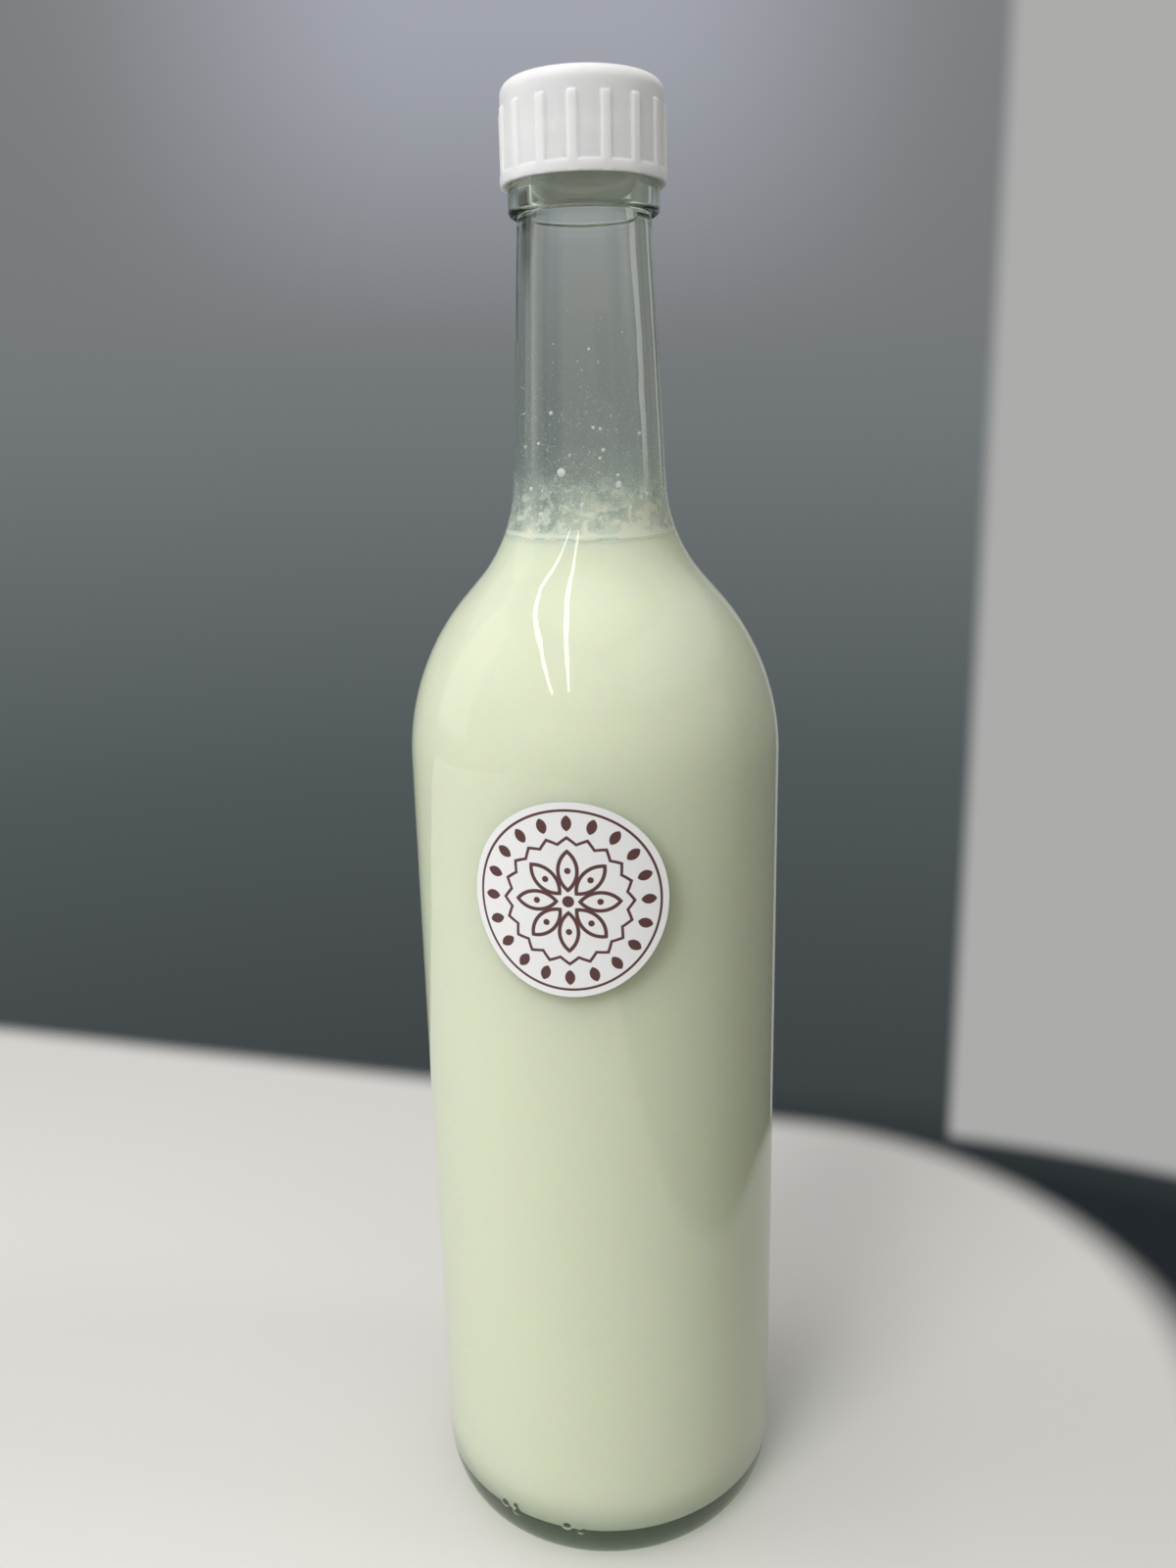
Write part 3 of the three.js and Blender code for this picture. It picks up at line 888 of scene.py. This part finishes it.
# %% How deep each point lies inside a rib's outline
half_width = add(grip, "ShaderNodeMath", {0: given.outputs["Width"], 1: 0.5}, operation="MULTIPLY")
half_bar = add(grip, "ShaderNodeMath", {0: half_width, 1: given.outputs["Corner"]}, operation="SUBTRACT")
past_bar = add(grip, "ShaderNodeMath", {0: off_middle, 1: half_bar}, operation="SUBTRACT")
sideways = add(grip, "ShaderNodeMath", {0: past_bar, 1: 0.0}, operation="MAXIMUM")
corner_height = add(grip, "ShaderNodeMath", {
    0: given.outputs["Top"], 1: given.outputs["Corner"],
}, operation="SUBTRACT")
past_corner = add(grip, "ShaderNodeMath", {0: axes.outputs["Z"], 1: corner_height}, operation="SUBTRACT")
upward = add(grip, "ShaderNodeMath", {0: past_corner, 1: 0.0}, operation="MAXIMUM")
past_middle = add(grip, "ShaderNodeCombineXYZ", {"X": sideways, "Y": upward})
from_corner = add(grip, "ShaderNodeVectorMath", {0: past_middle}, operation="LENGTH").outputs["Value"]
inside_by = add(grip, "ShaderNodeMath", {0: given.outputs["Corner"], 1: from_corner}, operation="SUBTRACT")
share = add(grip, "ShaderNodeMapRange", {
    "Value": inside_by, "From Min": 0.0, "From Max": given.outputs["Flank"],
}, interpolation_type="SMOOTHSTEP")
print("corners of", RIB_CORNER, "mm and flanks of", RIB_FLANK, "mm")

# %% Lift the wall
WALL_TOLERANCE = 0.02
lifted = add(grip, "ShaderNodeMath", {
    0: share, 1: given.outputs["Stand"], 2: given.outputs["Wall"],
}, operation="MULTIPLY_ADD")
wider = add(grip, "ShaderNodeMath", {0: reach, 1: lifted}, operation="MAXIMUM")
longer = add(grip, "ShaderNodeMath", {0: wider, 1: reach}, operation="DIVIDE")
stretch = add(grip, "ShaderNodeCombineXYZ", {"X": longer, "Y": longer, "Z": 1.0})
moved = add(grip, "ShaderNodeVectorMath", {0: point, 1: stretch}, operation="MULTIPLY")
nearly_wall = add(grip, "ShaderNodeMath", {
    0: given.outputs["Wall"], 1: WALL_TOLERANCE * MM,
}, operation="SUBTRACT")
outer_wall = add(grip, "ShaderNodeMath", {0: reach, 1: nearly_wall}, operation="GREATER_THAN")
raised = add(grip, "GeometryNodeSetPosition", {
    "Geometry": given.outputs["Geometry"], "Selection": outer_wall, "Position": moved,
})
real = add(grip, "GeometryNodeRealizeInstances", {"Geometry": raised})
coloured = add(grip, "GeometryNodeSetMaterial", {"Geometry": real, "Material": given.outputs["Material"]})
add(grip, "NodeGroupOutput", {"Geometry": coloured})
cap = applied("screw_cap", smooth_cap, grip, grip_names, {
    "Count": RIB_COUNT, "First": radians(FIRST_RIB), "Wall": CAP_RADIUS * MM,
    "Stand": (BAND_RADIUS - CAP_RADIUS) * MM, "Width": RIB_WIDTH * MM, "Top": RIB_TOP * MM,
    "Corner": RIB_CORNER * MM, "Flank": RIB_FLANK * MM, "Material": cap_white,
})
finished(cap, "white_cap", "cap")

# %% [markdown]
# ## Sticker
#
# A disc of coated paper, printed in dark maroon. Its pattern is ordinary: a rosette of eight petals round a
# dot, a scalloped line, a ring of lozenges and a thin border. It is worked out from distances on the paper,
# in millimetres, which the sticker's own UV map carries, so it bends with the paper round the glass.

# %% Places on the paper
UV_SPAN = 40.0
paper, tree = new_material("coated_label_paper")
uv = add(tree, "ShaderNodeUVMap", uv_map="flat")
centred = add(tree, "ShaderNodeVectorMath", {0: uv, 1: (0.5, 0.5, 0)}, operation="SUBTRACT")
in_mm = add(tree, "ShaderNodeVectorMath", {0: centred, "Scale": UV_SPAN}, operation="SCALE")
part = add(tree, "ShaderNodeSeparateXYZ", {0: in_mm})
radius = add(tree, "ShaderNodeVectorMath", {0: in_mm}, operation="LENGTH").outputs["Value"]
angle = add(tree, "ShaderNodeMath", {0: part.outputs["Y"], 1: part.outputs["X"]}, operation="ARCTAN2")
print("the paper's map spans", UV_SPAN, "mm")

# %% [markdown]
# Motifs that repeat round the middle are drawn once, in a sector that the circle is folded into. A mark is
# inked where a distance on the paper is under a limit, and its edge is soft over a tenth of a millimetre,
# as printed edges are.

# %% Helpers that draw marks
PRINT_SOFTNESS = 0.05


def sector_of(copies):
    """Distances along and across the middle line of the nearest of so many equal sectors."""
    half = pi / copies
    fold = add(tree, "ShaderNodeMath", {0: angle, 1: -half, 2: half}, operation="WRAP")
    cosine = add(tree, "ShaderNodeMath", {0: fold}, operation="COSINE")
    sine = add(tree, "ShaderNodeMath", {0: fold}, operation="SINE")
    along = add(tree, "ShaderNodeMath", {0: radius, 1: cosine}, operation="MULTIPLY")
    across = add(tree, "ShaderNodeMath", {0: radius, 1: sine}, operation="MULTIPLY")
    return along, add(tree, "ShaderNodeMath", {0: across}, operation="ABSOLUTE")


def away(along, off, centre_along, centre_off):
    """Distance from a point on the paper, given along and across the sector."""
    here = add(tree, "ShaderNodeCombineXYZ", {"X": along, "Y": off})
    centre = (centre_along, centre_off, 0)
    return add(tree, "ShaderNodeVectorMath", {0: here, 1: centre}, operation="DISTANCE").outputs["Value"]


def inked(distance, half_width):
    """1 where the distance is under half_width, with a soft printed edge."""
    return add(tree, "ShaderNodeMapRange", {
        "Value": distance, "From Min": half_width + PRINT_SOFTNESS, "From Max": half_width - PRINT_SOFTNESS,
    }, interpolation_type="SMOOTHSTEP")


def line(value, middle, width):
    """Ink along the curve on which value equals middle."""
    gap = add(tree, "ShaderNodeMath", {0: value, 1: middle}, operation="SUBTRACT")
    return inked(add(tree, "ShaderNodeMath", {0: gap}, operation="ABSOLUTE"), width / 2)


def bow(half_length, half_width):
    """Radius of the two arcs that bound a pointed oval."""
    return (half_length ** 2 + half_width ** 2) / (2 * half_width)


print("a pointed oval of 4 by 2 mm has arcs of", bow(2, 1), "mm")

# %% Rosette
PETALS = 8
PETAL_MIDDLE = 5.9
PETAL_HALF = 3.7
PETAL_WIDE = 1.75
PETAL_LINE = 0.7
SEED_RADIUS = 0.6
CENTRE_DOT = 1.1
petal_along, petal_off = sector_of(PETALS)
petal_bow = bow(PETAL_HALF, PETAL_WIDE)
petal = line(away(petal_along, petal_off, PETAL_MIDDLE, PETAL_WIDE - petal_bow), petal_bow, PETAL_LINE)
seed = inked(away(petal_along, petal_off, PETAL_MIDDLE, 0.0), SEED_RADIUS)
dot = inked(radius, CENTRE_DOT)
print(PETALS, "petals of", 2 * PETAL_HALF, "by", 2 * PETAL_WIDE, "mm")

# %% Lozenges, scallops and border
LOZENGES = 20
LOZENGE_MIDDLE = 14.9
LOZENGE_HALF = 1.5
LOZENGE_WIDE = 0.95
SCALLOP_RADIUS = 12.2
SCALLOP_RISE = 0.7
SCALLOP_LINE = 0.7
BORDER_RADIUS = 17.3
BORDER_LINE = 0.5
ring_along, ring_off = sector_of(LOZENGES)
lozenge_bow = bow(LOZENGE_HALF, LOZENGE_WIDE)
lozenge = inked(away(ring_along, ring_off, LOZENGE_MIDDLE, LOZENGE_WIDE - lozenge_bow), lozenge_bow)
wave = add(tree, "ShaderNodeMath", {0: ring_off, 1: SCALLOP_RISE, 2: radius}, operation="MULTIPLY_ADD")
scallop = line(wave, SCALLOP_RADIUS, SCALLOP_LINE)
border = line(radius, BORDER_RADIUS, BORDER_LINE)
print(LOZENGES, "lozenges of", 2 * LOZENGE_HALF, "by", 2 * LOZENGE_WIDE, "mm")

# %% [markdown]
# Label paper is coated and rolled smooth: nearly matt, with a weak broad sheen. Its fibres are a few
# hundredths of a millimetre wide, too fine to show, so they are drawn much coarser, as faint clouds.

# %% Paper material
FIBRE_SIZE = 0.4
ink = dot
for mark in (petal, seed, scallop, lozenge, border):
    ink = add(tree, "ShaderNodeMath", {0: ink, 1: mark}, operation="MAXIMUM")
fibre = add(tree, "ShaderNodeTexNoise", {"Vector": in_mm, "Scale": 1 / FIBRE_SIZE, "Detail": 3.0})
sheet = add(tree, "ShaderNodeMix", {0: fibre, 6: linear("#e9e9ec"), 7: linear("#f0f0f2")}, data_type="RGBA")
printed = add(tree, "ShaderNodeMix", {
    0: ink, 6: sheet.outputs[2], 7: linear("#5a3a3a"),
}, data_type="RGBA")
label = add(tree, "ShaderNodeBsdfPrincipled", {
    "Base Color": printed.outputs[2], "Roughness": 0.55, "IOR": 1.45,
})
add(tree, "ShaderNodeOutputMaterial", {"Surface": label})
print(paper.name, "with", len(tree.nodes), "nodes")

# %% [markdown]
# ### The paper itself
#
# A paper sticker is a disc a tenth of a millimetre thick that bends round the glass one way only, so a
# point on the flat paper keeps its distances on the bottle: across becomes an angle, up stays up. The
# disc is a web of rings and spokes, once for the front and once for the back, joined at the rim.

# %% Web of rings and spokes
STICKER_DIAMETER = (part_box("sticker")[1].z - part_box("sticker")[0].z) / MM
STICKER_HEIGHT = (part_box("sticker")[1].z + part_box("sticker")[0].z) / 2 / MM
PAPER_RINGS = 20
PAPER_SPOKES = 120
spokes = evenly(PAPER_SPOKES)
ring_reach = np.linspace(0, STICKER_DIAMETER / 2, PAPER_RINGS + 1)[1:]
ring_points = np.stack((np.outer(ring_reach, np.cos(spokes)), np.outer(ring_reach, np.sin(spokes))), -1)
flat = np.vstack(((0, 0), ring_points.reshape(-1, 2)))
web = [(0, 1 + s, 1 + (s + 1) % PAPER_SPOKES) for s in range(PAPER_SPOKES)]
for ring in range(PAPER_RINGS - 1):
    low, high = 1 + ring * PAPER_SPOKES, 1 + (ring + 1) * PAPER_SPOKES
    web += [(low + s, high + s, high + (s + 1) % PAPER_SPOKES, low + (s + 1) % PAPER_SPOKES)
            for s in range(PAPER_SPOKES)]
print("sticker", round(STICKER_DIAMETER, 2), "mm across, its middle", round(STICKER_HEIGHT, 2), "mm up")

# %% Lay the paper on the glass
PAPER_THICKNESS = 0.12
INTO_GLASS = 0.01
STICKER_TURN = radians(-8.4)


def on_glass(flat_points, stand):
    bend = flat_points[:, 0] / BODY_RADIUS + STICKER_TURN
    upward = STICKER_HEIGHT + flat_points[:, 1]
    return np.column_stack((stand * np.sin(bend), -stand * np.cos(bend), upward))


rim = len(flat) - PAPER_SPOKES
edge = [(rim + s, len(flat) + rim + s, len(flat) + rim + (s + 1) % PAPER_SPOKES,
         rim + (s + 1) % PAPER_SPOKES) for s in range(PAPER_SPOKES)]
paper_back = [tuple(len(flat) + i for i in face[::-1]) for face in web]
sticker = mesh_object(
    "paper_sticker",
    np.vstack((on_glass(flat, BODY_RADIUS + PAPER_THICKNESS), on_glass(flat, BODY_RADIUS - INTO_GLASS))),
    web + edge + paper_back, paper,
)
uv_map = sticker.data.uv_layers.new(name="flat")
corner_points = np.zeros(len(sticker.data.loops), dtype=np.int32)
sticker.data.loops.foreach_get("vertex_index", corner_points)
uv_map.data.foreach_set("uv", (np.vstack((flat, flat))[corner_points] / UV_SPAN + 0.5).ravel())
finished(sticker, "sticker_paper", "sticker")

# %% [markdown]
# ## Table
#
# The bottle stands on a pale laminate table: nearly matt, with a weak sheen. Its edge runs a hand's breadth
# behind the bottle, a little turned, with a round corner, and fades softly, as a far edge does that is out
# of focus. So the table is one flat sheet, and its material ends where the table does. From here on, sizes
# and places are in metres.

# %% Table
TABLE_REACH = 1.2
TABLE_TURN = radians(-15.4)
CORNER_MIDDLE = (0.030, 0.046)
CORNER_RADIUS = 0.110
EDGE_BLUR = 0.020
table_top, tree = new_material("pale_laminate_table")
place = add(tree, "ShaderNodeTexCoord")
turned_table = add(tree, "ShaderNodeVectorRotate", {
    "Vector": place.outputs["Object"], "Angle": -TABLE_TURN,
}, rotation_type="Z_AXIS")
past_corner = add(tree, "ShaderNodeVectorMath", {
    0: turned_table, 1: (*CORNER_MIDDLE, 0),
}, operation="SUBTRACT")
outside = add(tree, "ShaderNodeVectorMath", {0: past_corner, 1: (0, 0, 0)}, operation="MAXIMUM")
from_middle = add(tree, "ShaderNodeVectorMath", {0: outside}, operation="LENGTH")
on_table = add(tree, "ShaderNodeMapRange", {
    "Value": from_middle.outputs["Value"],
    "From Min": CORNER_RADIUS + EDGE_BLUR / 2, "From Max": CORNER_RADIUS - EDGE_BLUR / 2,
}, interpolation_type="SMOOTHSTEP")
laminate = add(tree, "ShaderNodeBsdfPrincipled", {
    "Base Color": linear("#e2dfdb"), "Roughness": 0.5, "Specular IOR Level": 0.3,
})
beyond = add(tree, "ShaderNodeBsdfTransparent")
top = add(tree, "ShaderNodeMixShader", {0: on_table, 1: beyond, 2: laminate})
add(tree, "ShaderNodeOutputMaterial", {"Surface": top})
print(table_top.name, "ends at a round corner of", CORNER_RADIUS / MM, "mm")

# %% Lay the table
sheet_corners = [(-1, -1), (1, -1), (1, 1), (-1, 1)]
top_mesh = bpy.data.meshes.new("table")
top_mesh.from_pydata([(TABLE_REACH * x, TABLE_REACH * y, 0) for x, y in sheet_corners], [], [(0, 1, 2, 3)])
top_mesh.materials.append(table_top)
floor = bpy.data.objects.new("table", top_mesh)
bpy.context.scene.collection.objects.link(floor)
print("table reaches", TABLE_REACH, "m each way")

# %% [markdown]
# ## Room
#
# The clear neck shows what is behind it, and the glass and the cap mirror the rest, so the room matters as
# much as the lamps. It is a grey that runs from dark low down to light higher up and dark again overhead,
# with soft panels in it: windows, walls and the gaps between them. A tone has its height in degrees. A
# panel has its turn from the front, its height, half its width, half its height and the softness of its
# edge, all in degrees, and then its light. The room has no small bright spot, so its light is sampled
# plainly, and the picture shows colours as they are, by the Standard view.

# %% Grey room
ROOM_TONES = [
    (-60, "#1e2226"), (-31, "#24292d"), (-28, "#3e4345"), (-14, "#51585a"), (-6, "#63696b"), (0, "#6f7576"),
    (6, "#787b7d"), (17, "#7e8082"), (24, "#9c9e9e"), (44, "#a6a8a8"), (54, "#505252"), (90, "#242424"),
]
world = bpy.data.worlds.new("grey_room")
world.use_nodes = True
bpy.context.scene.world = world
tree = world.node_tree
tree.nodes.clear()
direction = add(tree, "ShaderNodeTexCoord")
axes = add(tree, "ShaderNodeSeparateXYZ", {0: direction.outputs["Generated"]})
half_way = add(tree, "ShaderNodeMath", {0: axes.outputs["Z"], 1: 0.5, 2: 0.5}, operation="MULTIPLY_ADD")
tones = add(tree, "ShaderNodeValToRGB", {0: half_way})
stops = tones.color_ramp.elements
for degrees_up, tone in ROOM_TONES:
    stops.new(0.5 + 0.5 * sin(radians(degrees_up))).color = linear(tone)
stops.remove(stops[0])
stops.remove(stops[len(stops) - 1])
print("room with", len(stops), "tones")

# %% Directions in the room
to_front = add(tree, "ShaderNodeMath", {0: axes.outputs["Y"], 1: -1.0}, operation="MULTIPLY")
azimuth = add(tree, "ShaderNodeMath", {0: axes.outputs["X"], 1: to_front}, operation="ARCTAN2")
elevation = add(tree, "ShaderNodeMath", {0: axes.outputs["Z"]}, operation="ARCSINE")


def within(angle, middle, half, soft):
    """1 where an angle lies within half of the middle, with soft edges, all in degrees."""
    aside = add(tree, "ShaderNodeMath", {0: angle, 1: radians(middle)}, operation="SUBTRACT")
    nearest = add(tree, "ShaderNodeMath", {0: aside, 1: -pi, 2: pi}, operation="WRAP")
    gap = add(tree, "ShaderNodeMath", {0: nearest}, operation="ABSOLUTE")
    return add(tree, "ShaderNodeMapRange", {
        "Value": gap, "From Min": radians(half + soft / 2), "From Max": radians(half - soft / 2),
    }, interpolation_type="SMOOTHSTEP")


print(world.name, "with", len(tree.nodes), "nodes before its panels")

# %% Panels in the room
ROOM_PANELS = [
    ("low_front", 20, -8, 75, 10, 8, (0.40, 0.39, 0.32)),
    ("front", 25, 11, 70, 9, 8, (0.62, 0.60, 0.50)),
    ("upper_right", 90, 40, 65, 14, 8, (0.64, 0.64, 0.655)),
    ("right_gap", 131.2, 6, 21.2, 16, 3, (0.20, 0.20, 0.19)),
    ("pale_wall", 157.8, 1.5, 5.4, 31, 1, (0.41, 0.41, 0.405)),
    ("back_glow", -177.4, 22, 12, 12, 16, (0.37, 0.385, 0.435)),
    ("left_gap", -138, 17.5, 16, 8, 4, (0.05, 0.05, 0.05)),
    ("left_window", -100, 23, 15, 21.5, 6, (0.85, 0.83, 0.76)),
]
light = tones
for _, turn_to, height, half_wide, half_high, soft, radiance in ROOM_PANELS:
    here = add(tree, "ShaderNodeMath", {
        0: within(azimuth, turn_to, half_wide, soft), 1: within(elevation, height, half_high, soft),
    }, operation="MULTIPLY")
    light = add(tree, "ShaderNodeMix", {0: here, 6: light, 7: (*radiance, 1)}, data_type="RGBA").outputs[2]
sky = add(tree, "ShaderNodeBackground", {"Color": light, "Strength": 1.0})
add(tree, "ShaderNodeOutputWorld", {"Surface": sky})
world.cycles.sampling_method = "NONE"
bpy.context.scene.view_settings.view_transform = "Standard"
print("room with panels", ", ".join(panel[0] for panel in ROOM_PANELS))

# %% [markdown]
# ## Lamps
#
# The light comes from the left, from a tall window and a smaller one, and from two long ceiling lamps,
# which draw the pair of thin bright lines on the shoulder. Two faint beams stand in for light that walls
# throw back, one on the shoulder's right side and one on the heel. No lamp shows through the glass itself:
# such paths are slow and noisy, and the glass lets lamplight straight through to the milk already.

# %% Windows and beams
def lamp(name, place, aim, size, watts, spread=180, glossy=False):
    """An area lamp; with a narrow spread, in degrees, it is a soft beam and not an open window."""
    data = bpy.data.lights.new(name, "AREA")
    data.shape = "RECTANGLE"
    data.size, data.size_y = size
    data.energy = watts
    data.spread = radians(spread)
    light = bpy.data.objects.new(name, data)
    light.location = place
    light.rotation_euler = (Vector(aim) - Vector(place)).to_track_quat("-Z", "Y").to_euler()
    light.visible_glossy = glossy
    light.visible_transmission = False
    light.visible_camera = False
    bpy.context.scene.collection.objects.link(light)
    return light


def around(middle, turn, height, distance):
    """A place at a distance from middle, at a turn from the front and a height, both in degrees."""
    a, h = radians(turn), radians(height)
    return Vector(middle) + distance * Vector((sin(a) * cos(h), -cos(a) * cos(h), sin(h)))


BODY_MIDDLE = (0, 0, 0.15)
lamp("tall_window", around(BODY_MIDDLE, -37, 36, 1.2), BODY_MIDDLE, (0.45, 0.9), 5.5)
lamp("side_window", around(BODY_MIDDLE, -85, 36, 1.2), BODY_MIDDLE, (0.5, 0.5), 1.5)
lamp("shoulder_beam", around((0, 0, 0.23), 80, 45, 0.7), (0.012, 0, 0.225), (0.2, 0.2), 0.017, spread=18)
lamp("heel_beam", around((0, 0, 0.05), -30, 30, 0.5), (-0.01, -0.06, 0), (0.25, 0.25), 0.022, spread=50)

# %% Ceiling lamps
TUBES_ACROSS = (-0.876, -0.410)
TUBE_MIDDLE = -0.75
TUBE_HEIGHT = 1.5
TUBE_SIZE = (0.07, 2.33)
TUBE_WATTS = 3.9
TUBE_TURN = radians(-8.8)
for across in TUBES_ACROSS:
    overhead = (across, TUBE_MIDDLE, TUBE_HEIGHT)
    tube = lamp("ceiling_tube", overhead, (across, TUBE_MIDDLE, 0), TUBE_SIZE, TUBE_WATTS, glossy=True)
    tube.rotation_euler.rotate_axis("Z", TUBE_TURN)
print("two ceiling lamps", TUBE_SIZE[1], "m long, at a height of", TUBE_HEIGHT, "m")
